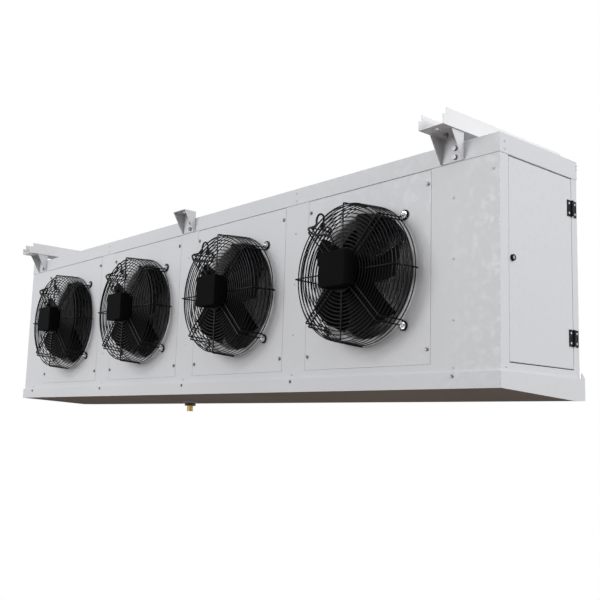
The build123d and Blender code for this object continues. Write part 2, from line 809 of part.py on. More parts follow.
# ---- The assembly ----
keep("top_panel", top_panel())
keep("front_frame", front_frame())
keep("left_end_cover", left_end_cover())
keep("right_end_frame", right_end_frame())
keep("left_bulkhead", bulkhead(left_bulkhead, depth - sheet, 1))
keep("right_bulkhead", bulkhead(right_bulkhead, depth - sheet, -1))
keep("partitions", *[bulkhead(x, coil_front, 1) for x in pillar_x])
keep("coil_fins", coil_fins())
keep("tube_bends", *tube_bends(left_bulkhead, -1), *tube_bends(right_bulkhead, 1))
keep("suction_header", suction_header())
keep("liquid_line", liquid_line())
keep("distributor", distributor())
keep("defrost_heaters", defrost_heaters())
keep("terminal_box", terminal_box()[0])
keep("terminal_box_lid", terminal_box()[1])
keep("drain_pan", drain_pan())
keep("drain_nipple", drain_nipple())
keep("drain_locknut", drain_locknut())

fan_pieces = {
    "fan_panel": fan_panel(),
    "fan_guard": fan_guard(),
    "motor_stator": motor_stator(),
    "rotor_can": rotor_can(),
    "fan_blades": fan_blades(),
    "junction_box": junction_box(),
}
for number, x in enumerate(fan_x, 1):
    for name, piece in fan_pieces.items():
        keep(f"{name}_{number}", Pos(x, 0, fan_z) * piece)
cable = motor_cable()
keep("motor_cables", *[Pos(x, 0, fan_z) * cable for x in fan_x])
keep("cable_grommets", *[Pos(x, 0, fan_z) * grommet() for x in fan_x])
keep("dome_nuts", *[Pos(x, 0, fan_z) * nut for x in fan_x for nut in dome_nuts()])

keep("hanger_gussets", *[side for x in hanger_x for side in both_sides(gusset(x))])
keep("hanger_rail_left", hanger_rail(hanger_x[0]))
keep("hanger_rail_right", hanger_rail(hanger_x[-1]))
rail_bolts = [rail_bolt_set(x) for x in (hanger_x[0], hanger_x[-1])]
keep("rail_bolts", *[side for pair in rail_bolts for piece in pair for side in both_sides(piece)])
keep("gusset_bolts", *[side for x in hanger_x for head in gusset_bolts(x) for side in both_sides(head)])

keep("side_door", side_door())
hinges = [hinge_parts(z) for z in hinge_z]
keep("hinge_door_leaves", *[parts[0] for parts in hinges])
keep("hinge_frame_leaves", *[parts[1] for parts in hinges])
keep("hinge_pins", *[parts[2] for parts in hinges])
keep("door_lock", lock_body())
keep("lock_cam", lock_cam())
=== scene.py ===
"""A ceiling-hung unit cooler for a walk-in cold room, piece by piece as it is put together."""

import json
import math

import bmesh
import bpy
from mathutils import Matrix, Vector


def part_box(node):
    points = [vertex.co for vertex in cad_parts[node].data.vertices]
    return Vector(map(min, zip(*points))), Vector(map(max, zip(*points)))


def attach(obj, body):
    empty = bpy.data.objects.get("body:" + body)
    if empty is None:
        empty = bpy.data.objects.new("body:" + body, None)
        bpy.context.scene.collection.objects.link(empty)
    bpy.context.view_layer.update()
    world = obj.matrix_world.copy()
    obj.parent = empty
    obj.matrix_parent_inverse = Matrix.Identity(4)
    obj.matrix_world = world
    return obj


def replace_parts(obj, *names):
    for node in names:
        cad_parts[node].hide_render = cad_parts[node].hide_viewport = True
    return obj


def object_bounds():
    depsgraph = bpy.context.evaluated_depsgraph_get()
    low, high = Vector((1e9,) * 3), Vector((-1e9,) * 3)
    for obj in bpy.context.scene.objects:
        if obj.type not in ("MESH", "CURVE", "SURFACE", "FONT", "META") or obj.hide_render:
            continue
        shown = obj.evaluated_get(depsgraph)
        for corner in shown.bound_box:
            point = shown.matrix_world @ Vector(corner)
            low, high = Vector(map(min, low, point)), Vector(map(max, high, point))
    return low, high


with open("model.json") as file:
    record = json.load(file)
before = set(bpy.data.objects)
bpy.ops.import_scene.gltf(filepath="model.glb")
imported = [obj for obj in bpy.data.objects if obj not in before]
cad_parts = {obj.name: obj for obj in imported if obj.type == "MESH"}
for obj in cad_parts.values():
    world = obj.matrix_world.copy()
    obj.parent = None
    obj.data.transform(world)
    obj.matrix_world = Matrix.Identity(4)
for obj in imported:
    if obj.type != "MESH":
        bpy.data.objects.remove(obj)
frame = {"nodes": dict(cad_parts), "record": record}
cad_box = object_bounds()

# ---- Powder coat ----
# The casing's sheets are sprayed with a light cool grey powder and baked. The finish is satin, with
# a fine orange peel, a faint unevenness of the colour, and the dust of a shop floor on ledges.


def node(tree, kind, inputs=None, **settings):
    """One node of a shader or geometry tree: a socket as a value is linked, a number is set."""
    made = tree.nodes.new(kind)
    for name, value in settings.items():
        setattr(made, name, value)
    for name, value in (inputs or {}).items():
        socket = made.inputs[name]
        if isinstance(value, bpy.types.NodeSocket):
            tree.links.new(value, socket)
        else:
            socket.default_value = value
    return made


def group(name, kind, inputs, outputs):
    """An empty node group with named sockets, given as (name, kind, value)."""
    tree = bpy.data.node_groups.new(name, kind)
    for label, socket_kind, value in inputs:
        socket = tree.interface.new_socket(label, in_out="INPUT", socket_type=socket_kind)
        if value is not None:
            socket.default_value = value
    for label, socket_kind in outputs:
        tree.interface.new_socket(label, in_out="OUTPUT", socket_type=socket_kind)
    return tree, node(tree, "NodeGroupInput"), node(tree, "NodeGroupOutput")


NUMBER, VECTOR = "NodeSocketFloat", "NodeSocketVector"
SHAPE, COUNT, MATERIAL = "NodeSocketGeometry", "NodeSocketInt", "NodeSocketMaterial"


def make_grain():
    """Fine texture of a finish: its height for a bump, and a slow unevenness around 0.5."""
    tree, given, result = group(
        "grain",
        "ShaderNodeTree",
        [("Fine Scale", NUMBER, 900.0), ("Slow Scale", NUMBER, 3.0), ("Stretch", VECTOR, (1, 1, 1))],
        [("Height", NUMBER), ("Mottle", NUMBER)],
    )
    where = node(tree, "ShaderNodeTexCoord").outputs["Object"]
    placed = node(tree, "ShaderNodeMapping", {"Vector": where, "Scale": given.outputs["Stretch"]})
    fine = node(
        tree,
        "ShaderNodeTexNoise",
        {"Vector": placed.outputs[0], "Scale": given.outputs["Fine Scale"], "Detail": 2.0},
    )
    slow = node(
        tree,
        "ShaderNodeTexNoise",
        {"Vector": placed.outputs[0], "Scale": given.outputs["Slow Scale"], "Detail": 4.0},
    )
    tree.links.new(fine.outputs["Fac"], result.inputs["Height"])
    tree.links.new(slow.outputs["Fac"], result.inputs["Mottle"])
    return tree


def make_dust():
    """Where dust lies: on faces that look up, in uneven patches."""
    tree, given, result = group(
        "settled_dust",
        "ShaderNodeTree",
        [("Amount", NUMBER, 0.3), ("Patch Scale", NUMBER, 9.0)],
        [("Mask", NUMBER)],
    )
    normal = node(tree, "ShaderNodeNewGeometry").outputs["Normal"]
    upward = node(tree, "ShaderNodeSeparateXYZ", {0: normal}).outputs["Z"]
    facing = node(
        tree, "ShaderNodeMapRange", {"Value": upward, "From Min": 0.35, "From Max": 0.95}
    ).outputs[0]
    where = node(tree, "ShaderNodeTexCoord").outputs["Object"]
    patches = node(
        tree,
        "ShaderNodeTexNoise",
        {"Vector": where, "Scale": given.outputs["Patch Scale"], "Detail": 5.0},
    ).outputs["Fac"]
    uneven = node(
        tree, "ShaderNodeMapRange", {"Value": patches, "From Min": 0.3, "From Max": 0.7}
    ).outputs[0]
    share = node(tree, "ShaderNodeMath", {0: facing, 1: uneven}, operation="MULTIPLY").outputs[0]
    amount = given.outputs["Amount"]
    scaled = node(tree, "ShaderNodeMath", {0: share, 1: amount}, operation="MULTIPLY")
    tree.links.new(scaled.outputs[0], result.inputs["Mask"])
    return tree


def make_wear():
    """Where an edge has lost its finish: worn spots along convex folds."""
    tree, given, result = group(
        "edge_wear",
        "ShaderNodeTree",
        [("Amount", NUMBER, 0.3), ("Spot Scale", NUMBER, 60.0)],
        [("Mask", NUMBER)],
    )
    edge = node(tree, "ShaderNodeNewGeometry").outputs["Pointiness"]
    convex = node(
        tree, "ShaderNodeMapRange", {"Value": edge, "From Min": 0.52, "From Max": 0.62}
    ).outputs[0]
    where = node(tree, "ShaderNodeTexCoord").outputs["Object"]
    spots = node(
        tree,
        "ShaderNodeTexNoise",
        {"Vector": where, "Scale": given.outputs["Spot Scale"], "Detail": 6.0},
    ).outputs["Fac"]
    broken = node(
        tree, "ShaderNodeMapRange", {"Value": spots, "From Min": 0.5, "From Max": 0.68}
    ).outputs[0]
    share = node(tree, "ShaderNodeMath", {0: convex, 1: broken}, operation="MULTIPLY").outputs[0]
    amount = given.outputs["Amount"]
    scaled = node(tree, "ShaderNodeMath", {0: share, 1: amount}, operation="MULTIPLY")
    tree.links.new(scaled.outputs[0], result.inputs["Mask"])
    return tree


grain, settled_dust, edge_wear = make_grain(), make_dust(), make_wear()
DUST_GREY = (0.36, 0.34, 0.31, 1)


def blend_colours(tree, share, first, second):
    """The first colour, going over to the second as share rises from 0 to 1."""
    mix = node(tree, "ShaderNodeMix", {"Factor": share}, data_type="RGBA")
    for socket, value in ((mix.inputs[6], first), (mix.inputs[7], second)):
        if isinstance(value, bpy.types.NodeSocket):
            tree.links.new(value, socket)
        else:
            socket.default_value = value
    return mix.outputs[2]


def effect(tree, what, values):
    """A shared effect placed in a material, with the material's own values."""
    placed = tree.nodes.new("ShaderNodeGroup")
    placed.node_tree = what
    for label, value in values.items():
        placed.inputs[label].default_value = value
    return placed


def finish(
    name,
    colour,
    second,
    rough,
    rough_spread=0.1,
    metal=0.0,
    peel=900.0,
    depth=0.02,
    slow=3.0,
    stretch=(1, 1, 1),
    dust=0.15,
    wear=0.0,
    bare=(0.4, 0.4, 0.4, 1),
    specular=0.5,
):
    """A finish: two shades mixed by a slow pattern, a fine bump, dust on ledges and worn edges."""
    material = bpy.data.materials.new(name)
    material.use_nodes = True
    tree = material.node_tree
    shader = tree.nodes["Principled BSDF"]
    texture = effect(tree, grain, {"Fine Scale": peel, "Slow Scale": slow, "Stretch": stretch})
    dusty = effect(tree, settled_dust, {"Amount": dust})
    mottle = node(
        tree,
        "ShaderNodeMapRange",
        {"Value": texture.outputs["Mottle"], "From Min": 0.3, "From Max": 0.7},
    ).outputs[0]
    shade = blend_colours(tree, mottle, colour, second)
    metallic = metal
    if wear > 0:
        worn = effect(tree, edge_wear, {"Amount": wear})
        shade = blend_colours(tree, worn.outputs["Mask"], shade, bare)
        metallic = worn.outputs["Mask"] if metal == 0 else metal
    shade = blend_colours(tree, dusty.outputs["Mask"], shade, DUST_GREY)
    tree.links.new(shade, shader.inputs["Base Color"])
    if isinstance(metallic, bpy.types.NodeSocket):
        tree.links.new(metallic, shader.inputs["Metallic"])
    else:
        shader.inputs["Metallic"].default_value = metallic
    roughness = node(
        tree,
        "ShaderNodeMapRange",
        {
            "Value": texture.outputs["Mottle"],
            "To Min": rough - rough_spread,
            "To Max": rough + rough_spread,
        },
    ).outputs[0]
    dulled = node(tree, "ShaderNodeMath", {0: roughness, 1: dusty.outputs["Mask"]}, operation="ADD")
    tree.links.new(dulled.outputs[0], shader.inputs["Roughness"])
    relief = {"Height": texture.outputs["Height"], "Strength": depth, "Distance": 0.001}
    bump = node(tree, "ShaderNodeBump", relief)
    tree.links.new(bump.outputs[0], shader.inputs["Normal"])
    shader.inputs["Specular IOR Level"].default_value = specular
    return material


powder_coat = finish(
    "powder_coat",
    (0.612, 0.622, 0.642, 1),
    (0.604, 0.614, 0.635, 1),
    rough=0.4,
    rough_spread=0.015,
    peel=650.0,
    depth=0.05,
    dust=0.1,
    wear=0.12,
    bare=(0.45, 0.46, 0.47, 1),
    specular=0.25,
)

# ---- Casing ----
# Folded sheets of 1.5 mm steel, riveted together: a tray-shaped top over the front frame, the left
# end cover and the right end frame, which has the service door's window. Every fold has a small
# outside radius and every cut edge is broken, so the sheets catch the light along their edges.
FOLD_RADIUS = 0.0022
CUT_RADIUS = 0.0005
SHARP = math.radians(32)


def put_in(name, data):
    """A new object in the scene with the data given."""
    made = bpy.data.objects.new(name, data)
    bpy.context.scene.collection.objects.link(made)
    return made


def as_mesh(piece, name):
    """The piece with its modifiers worked in, as a plain mesh object; the piece is removed."""
    bpy.context.view_layer.update()
    finished = piece.evaluated_get(bpy.context.evaluated_depsgraph_get())
    shape = bpy.data.meshes.new_from_object(finished)
    bpy.data.objects.remove(piece)
    return put_in(name, shape)


def body_of_node(name):
    """The CAD body that a node rides on."""
    return next(b for b, names in frame["record"]["behaviour"]["bodies"].items() if name in names)


def dress(piece, material, body):
    """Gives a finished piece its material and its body."""
    piece.data.materials.clear()
    piece.data.materials.append(material)
    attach(piece, body)
    return piece


def smooth(piece):
    """The piece shaded smoothly up to its sharp edges."""
    for face in piece.data.polygons:
        face.use_smooth = True
    piece.data.set_sharp_from_angle(angle=SHARP)
    return piece


def evenly_shaded(piece):
    """The piece shaded smoothly up to its sharp edges, with its large flat faces kept even."""
    smooth(piece)
    even = piece.modifiers.new("even", "WEIGHTED_NORMAL")
    even.keep_sharp = True
    return as_mesh(piece, piece.name)


def rounded(name, new_name, material, fold=0.0, cut=CUT_RADIUS, segments=2):
    """A CAD node with its folds and cut edges rounded, in place of the node."""
    shape = bmesh.new()
    shape.from_mesh(frame["nodes"][name].data)
    bmesh.ops.remove_doubles(shape, verts=shape.verts, dist=2e-6)
    bmesh.ops.dissolve_limit(
        shape, angle_limit=math.radians(0.6), verts=shape.verts, edges=shape.edges
    )
    low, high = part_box(name)
    if fold > 0:
        outer = []
        for edge in shape.edges:
            sides = 0
            for axis in range(3):
                for limit in (low[axis], high[axis]):
                    if all(abs(v.co[axis] - limit) < 1e-5 for v in edge.verts):
                        sides += 1
            if sides >= 2 and edge.calc_length() > 4 * fold:
                outer.append(edge)
        if outer:
            bmesh.ops.bevel(
                shape,
                geom=outer,
                offset=fold,
                segments=3,
                profile=0.5,
                affect="EDGES",
                clamp_overlap=True,
            )
    mesh = bpy.data.meshes.new(new_name)
    shape.to_mesh(mesh)
    shape.free()
    piece = put_in(new_name, mesh)
    if cut > 0:
        bevel = piece.modifiers.new("edges", "BEVEL")
        bevel.width = cut
        bevel.segments = segments
        bevel.limit_method = "ANGLE"
        bevel.angle_limit = SHARP
        piece = as_mesh(piece, new_name)
    piece = evenly_shaded(piece)
    dress(piece, material, body_of_node(name))
    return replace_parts(piece, name)


rounded("top_panel", "top_tray", powder_coat, fold=FOLD_RADIUS)
rounded("front_frame", "front_sheet", powder_coat)
rounded("left_end_cover", "left_end_sheet", powder_coat)
rounded("right_end_frame", "right_end_sheet", powder_coat)

# ---- Bulkheads and partitions ----
# Galvanised plates across the casing, which carry the coil's tubes and divide the fans' chambers.
# Their zinc shows large soft crystals.
galvanised = finish(
    "galvanised_steel",
    (0.46, 0.48, 0.50, 1),
    (0.60, 0.62, 0.64, 1),
    rough=0.42,
    metal=0.85,
    peel=120.0,
    slow=45.0,
    dust=0.2,
)
for plate in ("left_bulkhead", "right_bulkhead", "partitions"):
    rounded(plate, plate + "_plate", galvanised)

# ---- Fan panels ----
# A screwed-on panel for each fan, with a bell-mouth pressed from the same sheet around the wheel.
for number in range(1, 5):
    rounded(f"fan_panel_{number}", f"bell_mouth_panel_{number}", powder_coat)

# ---- Coil ----
# Thin aluminium fins pressed onto rows of copper tube, as wide as the space between the bulkheads.
# The fins' grey is darker than bare aluminium: partly painted shade for the coil deep inside the
# casing.
fin_metal_and_painted_shade = finish(
    "aluminium_fins",
    (0.42, 0.43, 0.44, 1),
    (0.52, 0.53, 0.54, 1),
    rough=0.42,
    metal=0.65,
    peel=300.0,
    slow=20.0,
    stretch=(0.1, 1, 1),
    dust=0.3,
)
copper = finish(
    "copper_tube",
    (0.50, 0.22, 0.12, 1),
    (0.31, 0.13, 0.07, 1),
    rough=0.33,
    metal=0.95,
    peel=400.0,
    slow=25.0,
    dust=0.1,
)
FIN_PITCH = 0.005
FIN_THICK = 0.0005
FIN_WAVE = 0.0012


def tube(name, points, radius, sides=12, kind="POLY"):
    """A round bar along points, as a mesh."""
    line = bpy.data.curves.new(name, "CURVE")
    line.dimensions = "3D"
    spline = line.splines.new(kind)
    spline.points.add(len(points) - 1)
    for point, place in zip(spline.points, points):
        point.co = (*place, 1)
    if kind == "NURBS":
        spline.order_u = 3
        spline.use_endpoint_u = True
    line.bevel_depth = radius
    line.bevel_resolution = sides // 4
    line.use_fill_caps = True
    line.resolution_u = 12
    return put_in(name, line)


def put_out(tree, shape, given, result):
    """Ends a geometry tree: the shape, painted with the tree's material."""
    inputs = {"Geometry": shape, "Material": given.outputs["Material"]}
    painted = node(tree, "GeometryNodeSetMaterial", inputs)
    tree.links.new(painted.outputs[0], result.inputs[0])
    return tree


def make_row_tree():
    """Copies of a piece in a straight row."""
    tree, given, result = group(
        "in_a_row",
        "GeometryNodeTree",
        [
            ("Geometry", SHAPE, None),
            ("Count", COUNT, 10),
            ("First", VECTOR, (0, 0, 0)),
            ("Step", VECTOR, (1, 0, 0)),
            ("Material", MATERIAL, None),
        ],
        [("Geometry", SHAPE)],
    )
    line = node(
        tree,
        "GeometryNodeMeshLine",
        {
            "Count": given.outputs["Count"],
            "Start Location": given.outputs["First"],
            "Offset": given.outputs["Step"],
        },
    )
    copies = node(
        tree,
        "GeometryNodeInstanceOnPoints",
        {"Points": line.outputs[0], "Instance": given.outputs["Geometry"]},
    )
    real = node(tree, "GeometryNodeRealizeInstances", {"Geometry": copies.outputs[0]})
    return put_out(tree, real.outputs[0], given, result)


in_a_row = make_row_tree()


def worked(piece, tree, values, name):
    """The plain mesh that a geometry tree makes of a piece."""
    modifier = piece.modifiers.new("work", "NODES")
    modifier.node_group = tree
    sockets = {s.name: s.identifier for s in tree.interface.items_tree if s.in_out == "INPUT"}
    for label, value in values.items():
        modifier[sockets[label]] = value
    return as_mesh(piece, name)


def flat_mesh(name, points, faces):
    """A mesh object from points and faces."""
    mesh = bpy.data.meshes.new(name)
    mesh.from_pydata([tuple(p) for p in points], [], faces)
    mesh.update()
    return put_in(name, mesh)


def join(name, *pieces):
    """Several mesh objects as one."""
    shape = bmesh.new()
    for piece in pieces:
        mesh = piece.data.copy()
        mesh.transform(piece.matrix_world)
        shape.from_mesh(mesh)
        bpy.data.objects.remove(piece)
    mesh = bpy.data.meshes.new(name)
    shape.to_mesh(mesh)
    shape.free()
    return smooth(put_in(name, mesh))


coil_low, coil_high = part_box("coil_fins")
fin_y = [coil_low.y + (coil_high.y - coil_low.y) * i / 8 for i in range(9)]
fin_points, fin_faces = [], []
for i, y in enumerate(fin_y):
    bend = FIN_WAVE / 2 * (1 if i % 2 else -1)
    for side in (-FIN_THICK / 2, FIN_THICK / 2):
        for z in (coil_low.z, coil_high.z):
            fin_points.append((bend + side, y, z))
for i in range(8):
    a, b = 4 * i, 4 * (i + 1)
    fin_faces += [(a, b, b + 1, a + 1), (a + 2, a + 3, b + 3, b + 2)]
    fin_faces += [(a, a + 2, b + 2, b), (a + 1, b + 1, b + 3, a + 3)]
fin_faces += [(0, 1, 3, 2), (32, 34, 35, 33)]
fin = flat_mesh("fin", fin_points, fin_faces)
fin_count = int((coil_high.x - coil_low.x - FIN_WAVE - FIN_THICK) / FIN_PITCH) + 1
fins = worked(
    fin,
    in_a_row,
    {
        "Count": fin_count,
        "First": (coil_low.x + (FIN_WAVE + FIN_THICK) / 2, 0, 0),
        "Step": (FIN_PITCH, 0, 0),
        "Material": fin_metal_and_painted_shade,
    },
    "fin_pack",
)
dress(fins, fin_metal_and_painted_shade, "casing")
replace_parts(fins, "coil_fins")
TUBE_RADIUS = 0.0048
TUBE_ROWS = 8
TUBES_HIGH = 21
row_step = (coil_high.y - coil_low.y) / TUBE_ROWS
tube_step = (coil_high.z - coil_low.z) / (TUBES_HIGH + 0.5)
banks = []
for bank in range(2):
    y = coil_low.y + (bank + 0.5) * row_step
    z = coil_low.z + (0.5 + bank / 2) * tube_step
    bar = as_mesh(tube("bar", [(coil_low.x, y, z), (coil_high.x, y, z)], TUBE_RADIUS, 8), "bar")
    here = {"First": (0, 0, 0), "Material": copper}
    up = {"Count": TUBES_HIGH, "Step": (0, 0, tube_step), **here}
    back = {"Count": TUBE_ROWS // 2, "Step": (0, 2 * row_step, 0), **here}
    banks.append(worked(worked(bar, in_a_row, up, "column"), in_a_row, back, "bank"))
dress(join("coil_tubes", *banks), copper, "casing")
for pipework in ("tube_bends", "suction_header", "liquid_line"):
    rounded(pipework, pipework + "_copper", copper, cut=0.0)

# ---- Distributor, heaters and terminal box ----
# A brass distributor feeds the coil's circuits, a hairpin heater is clipped under the fins for
# defrosting, and a moulded box behind the service door holds the terminals.
brass = finish(
    "brass",
    (0.58, 0.40, 0.13, 1),
    (0.42, 0.27, 0.09, 1),
    rough=0.35,
    metal=0.95,
    slow=60.0,
    dust=0.1,
)
heater_steel = finish(
    "heater_sheath", (0.22, 0.20, 0.18, 1), (0.32, 0.30, 0.27, 1), rough=0.45, metal=0.8, slow=30.0
)
box_grey = finish(
    "grey_moulding", (0.30, 0.31, 0.32, 1), (0.27, 0.28, 0.29, 1), rough=0.5, peel=1200.0, depth=0.1
)
rounded("distributor", "distributor_brass", brass, cut=0.0)
rounded("defrost_heaters", "heater_rod", heater_steel, cut=0.0)
rounded("terminal_box", "terminal_box_base", box_grey, cut=0.001)
rounded("terminal_box_lid", "terminal_box_cover", box_grey, cut=0.0015, segments=3)

# ---- Fan wheels ----
# Five swept blades pressed from steel sheet and riveted to a band on the motor's outer rotor, all
# painted black. Their black is set far darker than black paint: partly painted shade for the deep
# fan chamber. The wheel and the rotor turn together.
# Near-zero black: real black paint, deepened as painted shade for the inside of the fan chamber.
black_paint = finish(
    "black_paint",
    (0.0018, 0.0017, 0.0018, 1),
    (0.0034, 0.0032, 0.0033, 1),
    rough=0.48,
    peel=700.0,
    depth=0.1,
    dust=0.004,
    wear=0.02,
    bare=(0.12, 0.12, 0.12, 1),
    specular=0.02,
)


for number in range(1, 5):
    rounded(f"rotor_can_{number}", f"rotor_{number}", black_paint, cut=0.0006)
    rounded(f"motor_stator_{number}", f"stator_{number}", black_paint, cut=0.0005)
    rounded(f"fan_blades_{number}", f"blade_wheel_{number}", black_paint, cut=0.0)

# ---- Fan guards ----
# A welded basket of steel wire for each fan, powder-coated gloss black: rings over the face and the
# side, four single arms and four double ones. Each double arm ends in a loop under a dome nut.
black_gloss = finish(
    "black_gloss_wire",
    (0.0035, 0.0035, 0.0038, 1),
    (0.0060, 0.0060, 0.0064, 1),
    rough=0.27,
    rough_spread=0.05,
    peel=500.0,
    depth=0.08,
    dust=0.005,
    specular=0.1,
)
WIRE = 0.0034
ARM_WIRE = 0.0044
GUARD_DEPTH = 0.091
HUB_EDGE = 0.058
ELBOW = 0.200
BASE = 0.205
FACE_RINGS = 12
SIDE_RINGS = 6
EAR = 0.153
EAR_OUTER = 0.0145
EAR_WIRE = 0.0044
TWIN = 0.017
PANEL_GAP = 0.0002


def make_ring_tree():
    """Wire rings about the y axis, evenly spaced from one radius and depth to another."""
    tree, given, result = group(
        "wire_rings",
        "GeometryNodeTree",
        [
            ("Geometry", SHAPE, None),
            ("Count", COUNT, 12),
            ("First Radius", NUMBER, 0.07),
            ("Last Radius", NUMBER, 0.19),
            ("First Depth", NUMBER, -0.09),
            ("Last Depth", NUMBER, -0.09),
            ("Wire Radius", NUMBER, 0.00175),
            ("Ring Points", COUNT, 72),
            ("Material", MATERIAL, None),
        ],
        [("Geometry", SHAPE)],
    )
    points = node(tree, "GeometryNodePoints", {"Count": given.outputs["Count"]})
    index = node(tree, "GeometryNodeInputIndex").outputs[0]
    last = node(
        tree, "ShaderNodeMath", {0: given.outputs["Count"], 1: 1.0}, operation="SUBTRACT"
    ).outputs[0]
    share = node(tree, "ShaderNodeMath", {0: index, 1: last}, operation="DIVIDE").outputs[0]
    radius = node(
        tree,
        "ShaderNodeMapRange",
        {
            "Value": share,
            "To Min": given.outputs["First Radius"],
            "To Max": given.outputs["Last Radius"],
        },
        clamp=False,
    ).outputs[0]
    depth = node(
        tree,
        "ShaderNodeMapRange",
        {
            "Value": share,
            "To Min": given.outputs["First Depth"],
            "To Max": given.outputs["Last Depth"],
        },
        clamp=False,
    ).outputs[0]
    place = node(tree, "ShaderNodeCombineXYZ", {"Y": depth}).outputs[0]
    spread = {"Geometry": points.outputs[0], "Position": place}
    set_out = node(tree, "GeometryNodeSetPosition", spread)
    round_of = {"Resolution": given.outputs["Ring Points"], "Radius": 1.0}
    ring = node(tree, "GeometryNodeCurvePrimitiveCircle", round_of)
    rings = node(
        tree,
        "GeometryNodeInstanceOnPoints",
        {
            "Points": set_out.outputs[0],
            "Instance": ring.outputs[0],
            "Rotation": (math.pi / 2, 0, 0),
            "Scale": radius,
        },
    )
    real = node(tree, "GeometryNodeRealizeInstances", {"Geometry": rings.outputs[0]})
    even = node(tree, "GeometryNodeSetCurveRadius", {"Curve": real.outputs[0], "Radius": 1.0})
    wire = {"Resolution": 8, "Radius": given.outputs["Wire Radius"]}
    section = node(tree, "GeometryNodeCurvePrimitiveCircle", wire)
    sweep = {"Curve": even.outputs[0], "Profile Curve": section.outputs[0]}
    wires = node(tree, "GeometryNodeCurveToMesh", sweep)
    joined = node(tree, "GeometryNodeJoinGeometry")
    tree.links.new(wires.outputs[0], joined.inputs[0])
    tree.links.new(given.outputs["Geometry"], joined.inputs[0])
    return put_out(tree, joined.outputs[0], given, result)


def make_turn_tree():
    """Copies of a piece turned about the y axis in equal steps."""
    tree, given, result = group(
        "round_the_axis",
        "GeometryNodeTree",
        [
            ("Geometry", SHAPE, None),
            ("Count", COUNT, 4),
            ("First Angle", NUMBER, 0.0),
            ("Material", MATERIAL, None),
        ],
        [("Geometry", SHAPE)],
    )
    points = node(tree, "GeometryNodePoints", {"Count": given.outputs["Count"]})
    index = node(tree, "GeometryNodeInputIndex").outputs[0]
    step = node(
        tree, "ShaderNodeMath", {0: 2 * math.pi, 1: given.outputs["Count"]}, operation="DIVIDE"
    ).outputs[0]
    angle = node(
        tree,
        "ShaderNodeMath",
        {0: index, 1: step, 2: given.outputs["First Angle"]},
        operation="MULTIPLY_ADD",
    ).outputs[0]
    turn = node(tree, "ShaderNodeCombineXYZ", {"Y": angle}).outputs[0]
    copies = node(
        tree,
        "GeometryNodeInstanceOnPoints",
        {"Points": points.outputs[0], "Instance": given.outputs["Geometry"], "Rotation": turn},
    )
    real = node(tree, "GeometryNodeRealizeInstances", {"Geometry": copies.outputs[0]})
    return put_out(tree, real.outputs[0], given, result)


wire_rings, round_the_axis = make_ring_tree(), make_turn_tree()


def arm_route(back_to, start=0.0495):
    """The bent line of a guard arm, from the hub ring over its tight elbow to y = back_to."""
    front, elbow, base = ARM_WIRE / 2 - GUARD_DEPTH, ELBOW - ARM_WIRE / 2, BASE - ARM_WIRE / 2
    corner = 0.003
    route = [(start, front), (elbow - 4 * corner, front)]
    for i in range(5):
        angle = math.pi / 2 * i / 4
        out, down = corner * math.sin(angle), corner * math.cos(angle)
        route.append((elbow - corner + out, front + corner - down))
    return [*route, (base, back_to)]


def outward(piece, merge=0.0):
    """The piece with its faces turned outwards, its doubles merged first where a gap is given."""
    shape = bmesh.new()
    shape.from_mesh(piece.data)
    if merge > 0:
        bmesh.ops.remove_doubles(shape, verts=shape.verts, dist=merge)
    bmesh.ops.recalc_face_normals(shape, faces=shape.faces)
    shape.to_mesh(piece.data)
    shape.free()
    return piece


def revolve(name, profile, steps=32):
    """A turned piece about the y axis from (radius, y) points."""
    points, faces = [], []
    count = len(profile)
    for i in range(steps):
        angle = 2 * math.pi * i / steps
        for radius, y in profile:
            points.append((radius * math.cos(angle), y, radius * math.sin(angle)))
    for i in range(steps):
        a, b = i * count, (i + 1) % steps * count
        for j in range(count - 1):
            faces.append((a + j, b + j, b + j + 1, a + j + 1))
    return outward(flat_mesh(name, points, faces), merge=1e-6)


def loop_ear():
    """The eye at the end of a double arm, bent from its own wire, flat against the panel."""
    reach = EAR * math.sqrt(2)
    middle = EAR_OUTER - EAR_WIRE / 2
    points = []
    for i in range(25):
        angle = math.radians(150 - 300 * i / 24)
        points.append(
            (reach + middle * math.cos(angle), -EAR_WIRE / 2 - PANEL_GAP, middle * math.sin(angle))
        )
    return tube("ear", points, EAR_WIRE / 2, 12)


